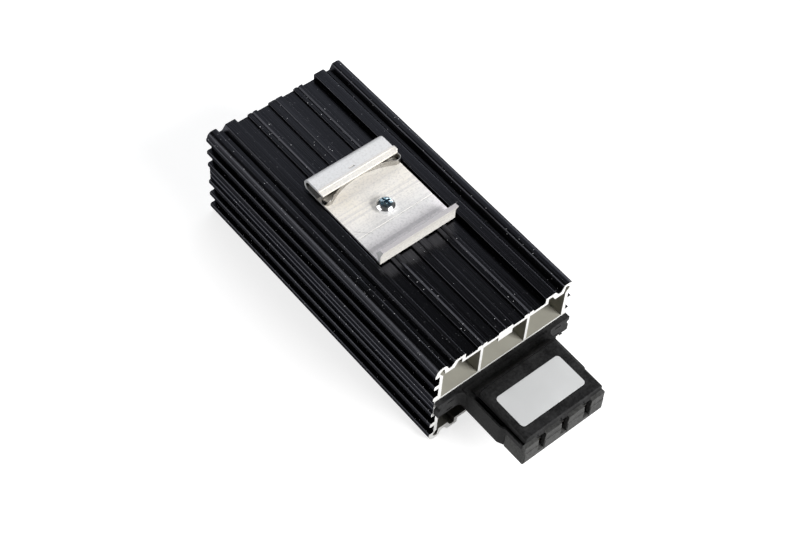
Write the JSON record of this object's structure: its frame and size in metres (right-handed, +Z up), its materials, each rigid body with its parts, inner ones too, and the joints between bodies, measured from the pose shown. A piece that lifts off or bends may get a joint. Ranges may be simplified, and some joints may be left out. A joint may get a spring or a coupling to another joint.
{
  "type": "enclosure heater",
  "caption": "Finned enclosure heater: black ribbed extrusion with through air channels, a sprung rail clip on top and a terminal connector on one end.",
  "frame": {"origin": "under the middle of the overall length and width, on the surface the heater rests on", "axes": "+X across the profile, +Y along the profile away from the connector, +Z up towards the rail clip"},
  "size_m": [0.07, 0.1818, 0.0562],
  "materials": {
    "profile_black": "black anodised, satin",
    "clip_bare": "bare extruded, satin",
    "spring_steel": "bright spring strip",
    "screw_zinc": "zinc plated",
    "plastic_black": "black, lightly grained",
    "plastic_grey": "dark grey, lightly grained",
    "label_silver": "silver film, blank",
    "clamp_metal": "tinned",
    "leaf_steel": "plain",
    "lead_metal": "plain",
    "electrode_metal": "plain",
    "sleeve_film": "amber film",
    "frame_ceramic": "plain",
    "stone_ceramic": "metallised faces"
  },
  "bodies": {
    "root": {"heatsink_profile": "profile_black", "rail_clip": "clip_bare", "clip_spring": "spring_steel", "clip_screw": "screw_zinc", "connector_base": "plastic_black", "connector_cover": "plastic_black", "rating_label": "label_silver", "terminal_block": "plastic_grey", "clamp_cage_1": "clamp_metal", "clamp_cage_2": "clamp_metal", "clamp_cage_3": "clamp_metal", "clamp_spring_1": "leaf_steel", "clamp_spring_2": "leaf_steel", "clamp_spring_3": "leaf_steel", "live_lead": "lead_metal", "neutral_lead": "lead_metal", "earth_strap": "lead_metal", "upper_electrode": "electrode_metal", "lower_electrode": "electrode_metal", "insulating_sleeve": "sleeve_film", "stone_frame": "frame_ceramic", "ptc_stone_1": "stone_ceramic", "ptc_stone_2": "stone_ceramic", "ptc_stone_3": "stone_ceramic", "ptc_stone_4": "stone_ceramic", "rear_plug": "plastic_black"}
  },
  "joints": []
}
